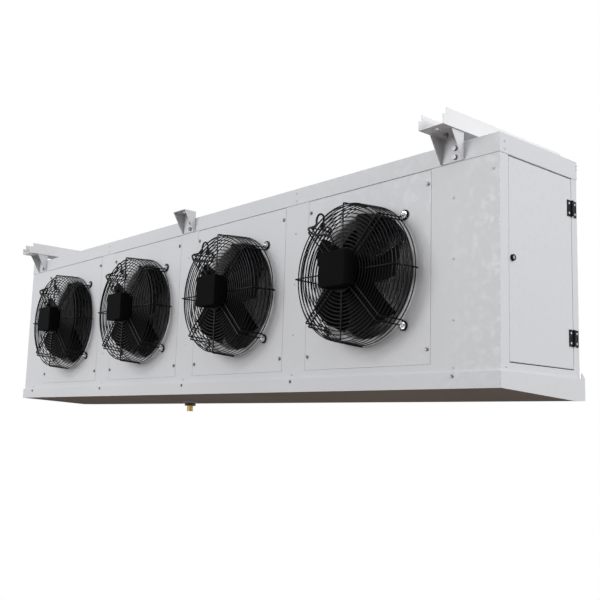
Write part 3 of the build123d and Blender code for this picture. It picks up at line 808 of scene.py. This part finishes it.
def guard():
    """One guard about the y axis: rings inside, arms welded over them."""
    inset = ARM_WIRE - 0.0010
    face = worked(
        flat_mesh("seed", [(0, 0, 0)], []),
        wire_rings,
        {
            "Count": FACE_RINGS,
            "First Radius": HUB_EDGE + 0.010,
            "Last Radius": ELBOW - 0.0125,
            "First Depth": inset - GUARD_DEPTH + WIRE / 2,
            "Last Depth": inset - GUARD_DEPTH + WIRE / 2,
            "Wire Radius": WIRE / 2,
            "Material": black_gloss,
        },
        "face_rings",
    )
    side = worked(
        flat_mesh("seed", [(0, 0, 0)], []),
        wire_rings,
        {
            "Count": SIDE_RINGS,
            "First Radius": ELBOW - inset - WIRE / 2,
            "Last Radius": BASE - inset - WIRE / 2,
            "First Depth": -GUARD_DEPTH + 0.012,
            "Last Depth": -0.0075,
            "Wire Radius": WIRE / 2,
            "Material": black_gloss,
        },
        "side_rings",
    )
    line = [(x, y, 0) for x, y in arm_route(-WIRE)]
    single = as_mesh(tube("arm", line, ARM_WIRE / 2, 8), "single_arm")
    singles = worked(single, round_the_axis, {"Count": 4, "Material": black_gloss}, "single_arms")
    twins = []
    for offset in (-TWIN / 2, TWIN / 2):
        points = [(x, y, offset) for x, y in arm_route(-0.004)]
        points.append((EAR * math.sqrt(2) - 0.002, -EAR_WIRE / 2 - PANEL_GAP, offset))
        twins.append(as_mesh(tube("arm", points, ARM_WIRE / 2, 8), "twin"))
    twins.append(as_mesh(loop_ear(), "eye"))
    double = join("double_arm", *twins)
    diagonal = {"Count": 4, "First Angle": math.pi / 4, "Material": black_gloss}
    doubles = worked(double, round_the_axis, diagonal, "double_arms")
    hub = revolve(
        "hub_ring",
        [
            (HUB_EDGE - 0.018, -GUARD_DEPTH + 0.0025),
            (HUB_EDGE - 0.018, -GUARD_DEPTH + 0.0004),
            (HUB_EDGE - 0.0176, -GUARD_DEPTH),
            (HUB_EDGE - 0.0004, -GUARD_DEPTH),
            (HUB_EDGE, -GUARD_DEPTH + 0.0004),
            (HUB_EDGE, -GUARD_DEPTH + 0.0025),
            (HUB_EDGE - 0.018, -GUARD_DEPTH + 0.0025),
        ],
        48,
    )
    return join("guard", face, side, singles, doubles, hub)


pattern_guard = guard()
fan_centres = []
for number in range(1, 5):
    low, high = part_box(f"fan_panel_{number}")
    fan_centres.append(Vector(((low.x + high.x) / 2, low.y, (low.z + high.z) / 2)))


def placed_copy(pattern, name, place, material, body):
    """A copy of a pattern piece with its place in its mesh."""
    mesh = pattern.data.copy()
    mesh.transform(Matrix.Translation(place))
    return dress(put_in(name, mesh), material, body)


for number, centre in enumerate(fan_centres, 1):
    name = f"wire_guard_{number}"
    basket = placed_copy(pattern_guard, name, centre, black_gloss, "casing")
    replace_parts(basket, f"fan_guard_{number}")
bpy.data.objects.remove(pattern_guard)

# ---- Dome nuts ----
# Bright zinc-plated dome nuts with washers hold each guard by its four eyes.
bright_zinc = finish(
    "bright_zinc",
    (0.62, 0.63, 0.65, 1),
    (0.50, 0.51, 0.53, 1),
    rough=0.16,
    rough_spread=0.05,
    metal=1.0,
    peel=300.0,
    slow=80.0,
    dust=0.05,
)


def dome_nut():
    """A washer, a hexagon and its dome, about the y axis, facing -y from y = 0."""
    rim = [(0.0098, 0), (0.010, -0.0003), (0.010, -0.0012), (0.0097, -0.0015)]
    washer = revolve("washer", [(0, 0), *rim, (0, -0.0015)])
    dome = [(0.0, -0.0105)]
    for i in range(1, 7):
        angle = math.pi / 2 * i / 6
        dome.append((0.0047 * math.sin(angle), -0.0058 - 0.0047 * math.cos(angle)))
    dome.append((0.0047, -0.0050))
    cap = revolve("dome", dome, 24)
    points, faces = [], []
    for y in (-0.0015, -0.0050):
        for i in range(6):
            angle = math.pi / 3 * i
            points.append((0.0058 * math.cos(angle), y, 0.0058 * math.sin(angle)))
    for i in range(6):
        j = (i + 1) % 6
        faces.append((i, i + 6, j + 6, j))
    faces += [tuple(range(6)), tuple(range(11, 5, -1))]
    hexagon = flat_mesh("hexagon", points, faces)
    bevel = hexagon.modifiers.new("edges", "BEVEL")
    bevel.width = 0.0004
    bevel.segments = 2
    return join("dome_nut", washer, cap, as_mesh(hexagon, "hexagon"))


def make_scatter_tree():
    """A fastener at each point, its own -y turned to the point's facing."""
    tree, given, result = group(
        "fasteners",
        "GeometryNodeTree",
        [
            ("Geometry", SHAPE, None),
            ("Fastener", "NodeSocketObject", None),
            ("Size", NUMBER, 1.0),
            ("Material", MATERIAL, None),
        ],
        [("Geometry", SHAPE)],
    )
    facing = node(
        tree, "GeometryNodeInputNamedAttribute", {"Name": "facing"}, data_type="FLOAT_VECTOR"
    ).outputs["Attribute"]
    turn = node(
        tree, "FunctionNodeAlignRotationToVector", {"Vector": facing}, axis="Z"
    ).outputs[0]
    head = node(tree, "GeometryNodeObjectInfo", {"Object": given.outputs["Fastener"]})
    copies = node(
        tree,
        "GeometryNodeInstanceOnPoints",
        {
            "Points": given.outputs["Geometry"],
            "Instance": head.outputs["Geometry"],
            "Rotation": turn,
            "Scale": given.outputs["Size"],
        },
    )
    real = node(tree, "GeometryNodeRealizeInstances", {"Geometry": copies.outputs[0]})
    return put_out(tree, real.outputs[0], given, result)


fasteners = make_scatter_tree()
FRONT, RIGHT = (0, -1, 0), (1, 0, 0)


def fix(name, fastener, spots, material, body, size=1.0):
    """Sets a fastener at each spot, given as (place, facing), and makes them one piece."""
    seeds = flat_mesh(name + "_spots", [place for place, _ in spots], [])
    facing = seeds.data.attributes.new("facing", "FLOAT_VECTOR", "POINT")
    for item, (_, direction) in zip(facing.data, spots):
        item.vector = direction
    piece = worked(
        seeds, fasteners, {"Fastener": fastener, "Size": size, "Material": material}, name
    )
    return dress(smooth(piece), material, body)


def pattern(piece):
    """Turns a fastener drawn facing -y to face +z, as the fasteners' tree takes it."""
    piece.data.transform(Matrix.Rotation(math.pi / 2, 4, "X").inverted())
    piece.hide_render = True
    return piece


nut_pattern = pattern(dome_nut())
nut_seat = EAR_WIRE + PANEL_GAP
nut_spots = [
    (centre + Vector((x, -nut_seat, z)), FRONT)
    for centre in fan_centres
    for x in (-EAR, EAR)
    for z in (-EAR, EAR)
]
nuts = fix("guard_nuts", nut_pattern, nut_spots, bright_zinc, "casing")
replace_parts(nuts, "dome_nuts")
bpy.data.objects.remove(nut_pattern)

# ---- Motor terminal boxes and cables ----
# A moulded dark box with a lid sits on each motor's boss, in front of the guard. Its lead
# leaves through a gland on top and runs over the guard to a rubber grommet in the fan panel.
dark_plastic = finish(
    "dark_plastic",
    (0.0034, 0.0035, 0.0037, 1),
    (0.0052, 0.0054, 0.0057, 1),
    rough=0.5,
    peel=1500.0,
    depth=0.2,
    dust=0.006,
    specular=0.01,
)
black_rubber = finish(
    "black_rubber",
    (0.007, 0.007, 0.007, 1),
    (0.012, 0.012, 0.012, 1),
    rough=0.48,
    peel=800.0,
    depth=0.1,
    dust=0.03,
    specular=0.1,
)
BOX_HALF = 0.052
BOX_FOOT, BOX_TOP = -0.046, 0.053
BOX_CORNER = 0.006
# How far from the box's outline each ring of the moulding lies, from its back to its front face.
BOX_STATIONS = (
    (-0.0925, 0.0),
    (-0.1126, 0.0),
    (-0.1130, 0.0008),
    (-0.1140, 0.0008),
    (-0.1144, -0.0008),
    (-0.1285, -0.0004),
    (-0.1300, 0.0002),
    (-0.1309, 0.0012),
    (-0.1312, 0.0028),
)


def moulded_box():
    """The terminal box about the fan's axis: base, seam, overhanging lid and cable gland."""
    points, faces = [], []
    middle_z, half_z = (BOX_FOOT + BOX_TOP) / 2, (BOX_TOP - BOX_FOOT) / 2
    for y, inset in BOX_STATIONS:
        for quarter in range(4):
            for i in range(7):
                angle = math.pi / 2 * (quarter + i / 6)
                way = math.pi / 4 + quarter * math.pi / 2
                side_x = math.copysign(BOX_HALF - BOX_CORNER, math.cos(way))
                side_z = math.copysign(half_z - BOX_CORNER, math.sin(way))
                reach = BOX_CORNER - inset
                x, z = side_x + reach * math.cos(angle), side_z + reach * math.sin(angle)
                points.append((x, y, middle_z + z))
    count = 28
    for ring in range(len(BOX_STATIONS) - 1):
        for i in range(count):
            a, b = ring * count, (ring + 1) * count
            j = (i + 1) % count
            faces.append((a + i, a + j, b + j, b + i))
    faces.append(tuple(range(count - 1, -1, -1)))
    last = count * (len(BOX_STATIONS) - 1)
    faces.append(tuple(range(last, last + count)))
    shell = outward(flat_mesh("shell", points, faces))
    top = BOX_TOP
    profile = [(0, top - 0.001), (0.0085, top - 0.001), (0.0085, top + 0.007)]
    profile += [(0.0070, top + 0.0078), (0.0078, top + 0.0085), (0.0078, top + 0.0150)]
    profile += [(0.0062, 0.0735), (0.0036, 0.0750), (0, 0.0750)]
    gland = revolve("gland", profile, 24)
    over_gland = Matrix.Translation((LEAD[0][0] / 1000, LEAD[0][1] / 1000, 0))
    gland.data.transform(over_gland @ Matrix.Rotation(math.pi / 2, 4, "X"))
    return evenly_shaded(join("box", shell, gland))


CABLE_RADIUS = 0.0032
LEAD = [
    (-25, -103, 75),
    (-25, -103, 92),
    (-42, -102, 110),
    (-75, -101, 113),
    (-108, -101, 118),
    (-137, -98, 139),
    (-154, -78, 152),
    (-167, -50, 160),
    (-176, -29, 173),
    (-184, -24, 189),
    (-179, -22, 205),
    (-165, -21, 207),
    (-154, -20, 195),
    (-157, -19, 180),
    (-171, -16, 171),
    (-181, -8, 175),
    (-181, 3, 175),
]
box_pattern = moulded_box()
for number, centre in enumerate(fan_centres, 1):
    name = f"motor_box_{number}"
    box = placed_copy(box_pattern, name, centre, dark_plastic, "casing")
    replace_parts(box, f"junction_box_{number}")
    points = [centre + Vector(p) / 1000 for p in LEAD]
    lead = tube(f"motor_lead_{number}", points, CABLE_RADIUS, 16, "NURBS")
    lead.data.materials.append(black_rubber)
    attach(lead, "casing")
    if number == 1:
        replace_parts(lead, "motor_cables")
bpy.data.objects.remove(box_pattern)
rounded("cable_grommets", "panel_grommets", black_rubber, cut=0.0006)

# ---- Rivets and panel screws ----
# Painted pop rivets join the sheets along the frame's uprights and the cap's corners. Dark screws
# hold the drain pan, and flanged screws with washers hold each fan panel by its corners.


def rivet():
    """A pop rivet's domed head with its broken stem, facing -y from y = 0."""
    profile = [(0.0036, 0), (0.0036, -0.0005), (0.0030, -0.0011), (0.0018, -0.0015)]
    return revolve("rivet", [*profile, (0.0012, -0.0013), (0.0011, -0.0006), (0, -0.0006)], 16)


def flange_screw():
    """A hexagon head with its own washer and a cross recess, facing -y from y = 0."""
    rim = [(0.0062, 0), (0.0065, -0.0003), (0.0060, -0.0011), (0.0044, -0.0014)]
    washer = revolve("flange", [(0, 0), *rim, (0, -0.0014)], 24)
    points, faces = [], []
    for radius, y in ((0.0044, -0.0012), (0.0044, -0.0042), (0.0036, -0.0048), (0.0018, -0.0042)):
        for i in range(6):
            angle = math.pi / 3 * i
            points.append((radius * math.cos(angle), y, radius * math.sin(angle)))
    for ring in range(3):
        for i in range(6):
            j = (i + 1) % 6
            a, b = 6 * ring, 6 * (ring + 1)
            faces.append((a + i, b + i, b + j, a + j))
    faces.append(tuple(range(23, 17, -1)))
    return join("screw", washer, flat_mesh("head", points, faces))


painted_rivet = finish(
    "painted_rivet", (0.50, 0.51, 0.52, 1), (0.42, 0.43, 0.44, 1), rough=0.35, metal=0.3, dust=0.1
)
dark_zinc = finish(
    "dark_zinc",
    (0.24, 0.24, 0.25, 1),
    (0.16, 0.16, 0.17, 1),
    rough=0.34,
    metal=0.55,
    slow=70.0,
    dust=0.1,
)
CASING_HEIGHT = 0.640
top_low, top_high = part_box("top_panel")
frame_low, frame_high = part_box("front_frame")
left_end = frame_low.x
right_end = frame_high.x
front_face = frame_low.y
foot = top_high.z - CASING_HEIGHT
cap_face = top_low.y
right_cap = top_high.x


def at(x, z):
    """A place on the front face, in millimetres from the casing's left bottom corner."""
    return Vector((left_end + x / 1000, front_face, foot + z / 1000))


RIVET_COLUMNS = (95, 735, 1335, 1930, 2557)
RIVET_ROWS = (495, 334, 175, 53)
rivet_pattern = pattern(rivet())
rivet_spots = [(at(x, z), FRONT) for x in RIVET_COLUMNS for z in RIVET_ROWS]
rivet_spots.append((at(2683, 548), FRONT))
for x in RIVET_COLUMNS:
    for z in (600, 625):
        spot = at(x, z)
        rivet_spots.append((Vector((spot.x, cap_face, spot.z)), FRONT))
side_spots = [(19, 619), (19, 599), (347, 628), (347, 618)]
for y, z in side_spots:
    rivet_spots.append((Vector((right_cap, front_face + y / 1000, foot + z / 1000)), RIGHT))
rivet_spots.append((Vector((right_end, front_face + 0.024, foot + 0.053)), RIGHT))
fix("casing_rivets", rivet_pattern, rivet_spots, painted_rivet, "casing")
bpy.data.objects.remove(rivet_pattern)

screw_pattern = pattern(flange_screw())
screw_spots = []
for centre in fan_centres:
    for x in (-0.235, 0.235):
        for z in (105, 549):
            screw_spots.append((Vector((centre.x + x, front_face, foot + z / 1000)), FRONT))
fix("panel_screws", screw_pattern, screw_spots, dark_zinc, "casing")

# ---- Drain pan ----
# A folded tray with a sloping floor under the casing. A brass outlet with a dark locknut goes
# through its cup. Its downward faces are painted a darker, warmer brown grey than the casing:
# painted shade for the pan's shadowed underside.
pan_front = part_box("drain_pan")[0].y
tray = rounded("drain_pan", "drain_tray", powder_coat, fold=FOLD_RADIUS)
# A dull brown grey, darker than the powder coat: painted shade standing in for the shadow under the
# pan.
matt_underside = finish(
    "matt_underside",
    (0.50, 0.48, 0.46, 1),
    (0.44, 0.42, 0.40, 1),
    rough=0.85,
    depth=0.05,
    dust=0.0,
    specular=0.0,
)
tray.data.materials.append(matt_underside)
# The pan's downward faces at its bottom take the painted shade.
for face in tray.data.polygons:
    if face.normal.z < -0.9 and face.center.z < at(0, 4).z:
        face.material_index = 1
pan_spots = [(Vector((at(x, 32).x, pan_front, at(x, 32).z)), FRONT) for x in RIVET_COLUMNS]
fix("pan_screws", screw_pattern, pan_spots, dark_zinc, "casing", 0.85)
bpy.data.objects.remove(screw_pattern)
rounded("drain_nipple", "drain_outlet_tube", brass, cut=0.0004)
locknut_plastic = finish(
    "locknut_plastic", (0.012, 0.011, 0.010, 1), (0.02, 0.019, 0.018, 1), rough=0.45, depth=0.2
)
rounded("drain_locknut", "outlet_locknut", locknut_plastic, cut=0.001)

# ---- Hangers ----
# Three folded gussets carry the casing from the cap's front and back, and hanger rails of channel
# painted white run over both ends to the ceiling bolts. Hexagon bolts hold gussets and rails.
rounded("hanger_gussets", "gusset_brackets", powder_coat, cut=0.0006)
rail_white = finish(
    "rail_white",
    (0.79, 0.79, 0.80, 1),
    (0.75, 0.75, 0.76, 1),
    rough=0.42,
    rough_spread=0.02,
    depth=0.05,
    dust=0.1,
    specular=0.25,
)
rounded("hanger_rail_left", "rail_over_left_end", rail_white, cut=0.0009)
rounded("hanger_rail_right", "rail_over_right_end", rail_white, cut=0.0009)
rounded("rail_bolts", "rail_bolt_heads", dark_zinc, cut=0.0005)
rounded("gusset_bolts", "gusset_bolt_heads", dark_zinc, cut=0.0005)

# ---- Service door ----
# A folded tray hung on two black butt hinges at the back of the right end. A quarter-turn lock at
# its front edge turns a cam behind the frame's lip.
LEAF_THICK = 0.0025
LEAF_REACH = 0.0135
black_satin = finish(
    "black_satin",
    (0.005, 0.005, 0.0055, 1),
    (0.009, 0.009, 0.0095, 1),
    rough=0.34,
    peel=600.0,
    dust=0.01,
    wear=0.1,
    specular=0.08,
)
rounded("side_door", "door_tray", powder_coat, fold=0.0018)
rounded("hinge_door_leaves", "hinge_leaves_on_door", black_satin)
rounded("hinge_frame_leaves", "hinge_leaves_on_frame", black_satin)
rounded("hinge_pins", "hinge_pin_ends", bright_zinc, cut=0.0004)
rounded("door_lock", "lock_housing", black_satin, cut=0.0006)
rounded("lock_cam", "lock_insert_and_cam", bright_zinc, cut=0.0003)


def hinge_screw():
    """A countersunk cross-head screw, nearly flush, facing -y from y = 0."""
    profile = [(0.0032, 0), (0.0030, -0.0005), (0.0016, -0.0007), (0, -0.0002)]
    return revolve("hinge_screw", profile, 16)


hinge_pattern = pattern(hinge_screw())
hinge_line = (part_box("hinge_door_leaves")[1].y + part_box("hinge_frame_leaves")[0].y) / 2
leaf_face = right_end + LEAF_THICK
leaves = (("hinge_screws_on_door", "service_door", -1), ("hinge_screws_on_frame", "casing", 1))
for name, body, side in leaves:
    spots = [
        (Vector((leaf_face, hinge_line + side * LEAF_REACH, foot + (z + dz) / 1000)), RIGHT)
        for z in (148, 502)
        for dz in (-13.5, 13.5)
    ]
    fix(name, hinge_pattern, spots, bright_zinc, body)
bpy.data.objects.remove(hinge_pattern)

# ---- Camera ----
# The lens looks up a little at the cooler from low on its right.
LENS, SENSOR = 52.23, 36
CAMERA_PLACE = Vector((2.6282, -1.9104, -0.7830))
AZIMUTH, RISE, ROLL = math.radians(-49.05), math.radians(8.55), math.radians(1.72)
ahead = Vector(
    (math.sin(AZIMUTH) * math.cos(RISE), math.cos(AZIMUTH) * math.cos(RISE), math.sin(RISE))
)
across = ahead.cross(Vector((0, 0, 1))).normalized()
above = across.cross(ahead)
camera_x = across * math.cos(ROLL) + above * math.sin(ROLL)
camera_y = above * math.cos(ROLL) - across * math.sin(ROLL)
camera_data = bpy.data.cameras.new("camera")
camera_data.lens = LENS
camera_data.sensor_width = SENSOR
camera_data.clip_end = 100
camera = put_in("camera", camera_data)
turned = Matrix((camera_x, camera_y, -ahead)).transposed().to_4x4()
camera.matrix_world = Matrix.Translation(CAMERA_PLACE) @ turned
bpy.context.scene.camera = camera

# ---- Room ----
# A plain pale floor and sky, white to the lens and to reflections, and soft lamps from the front
# and from the right.
FLOOR_DROP = 1.3
FLOOR_HALF = 9


def seen_white(tree):
    """1 where the lens, a reflection or a see-through surface looks at the room, else 0."""
    path = node(tree, "ShaderNodeLightPath").outputs
    seen = path["Is Camera Ray"]
    for ray in ("Is Glossy Ray", "Is Transmission Ray"):
        either = node(tree, "ShaderNodeMath", {0: seen, 1: path[ray]}, operation="MAXIMUM")
        seen = either.outputs[0]
    return seen


floor_low = cad_box[0].z - FLOOR_DROP
corners = [(-FLOOR_HALF, -FLOOR_HALF), (FLOOR_HALF, -FLOOR_HALF)]
corners += [(FLOOR_HALF, FLOOR_HALF), (-FLOOR_HALF, FLOOR_HALF)]
floor = flat_mesh("floor", [(x, y, floor_low) for x, y in corners], [(0, 1, 2, 3)])
floor_finish = bpy.data.materials.new("pale_floor")
floor_finish.use_nodes = True
floor_tree = floor_finish.node_tree
floor_shader = floor_tree.nodes["Principled BSDF"]
floor_shader.inputs["Base Color"].default_value = (0.150, 0.120, 0.103, 1)
floor_shader.inputs["Roughness"].default_value = 0.9
floor_glow = node(floor_tree, "ShaderNodeEmission", {"Color": (1, 1, 1, 1), "Strength": 1.0})
floor_mix = node(
    floor_tree,
    "ShaderNodeMixShader",
    {0: seen_white(floor_tree), 1: floor_shader.outputs[0], 2: floor_glow.outputs[0]},
)
floor_tree.links.new(floor_mix.outputs[0], floor_tree.nodes["Material Output"].inputs["Surface"])
floor.data.materials.append(floor_finish)

world = bpy.data.worlds.new("room")
bpy.context.scene.world = world
world.use_nodes = True
sky = world.node_tree
sky_light = sky.nodes["Background"]
sky_light.inputs["Color"].default_value = (0.97, 0.98, 1.0, 1)
outlook = node(sky, "ShaderNodeTexCoord").outputs["Generated"]
height = node(sky, "ShaderNodeSeparateXYZ", {0: outlook}).outputs["Z"]
rise = {"Value": height, "From Min": -0.15, "From Max": 0.15, "To Min": 0.05, "To Max": 0.60}
brightness = node(sky, "ShaderNodeMapRange", rise).outputs[0]
sky.links.new(brightness, sky_light.inputs["Strength"])
sky_seen = node(sky, "ShaderNodeBackground", {"Color": (1, 1, 1, 1), "Strength": 1.0})
sky_mix = node(
    sky,
    "ShaderNodeMixShader",
    {0: seen_white(sky), 1: sky_light.outputs[0], 2: sky_seen.outputs[0]},
)
sky.links.new(sky_mix.outputs[0], sky.nodes["World Output"].inputs["Surface"])


def lamp(name, place, aim, size, power):
    """A soft square lamp."""
    data = bpy.data.lights.new(name, "AREA")
    data.shape = "SQUARE"
    data.size = size
    data.energy = power
    piece = put_in(name, data)
    piece.location = place
    piece.rotation_mode = "QUATERNION"
    piece.rotation_quaternion = (Vector(aim) - Vector(place)).to_track_quat("-Z", "Y")


lamp("front_lamp", (-1.6, -5.0, 1.2), (0, 0, -0.35), 3.0, 186)
lamp("right_lamp", (5.5, 0.1, 1.2), (1.2, 0, -0.35), 2.5, 150)
bpy.context.scene.view_settings.view_transform = "Standard"
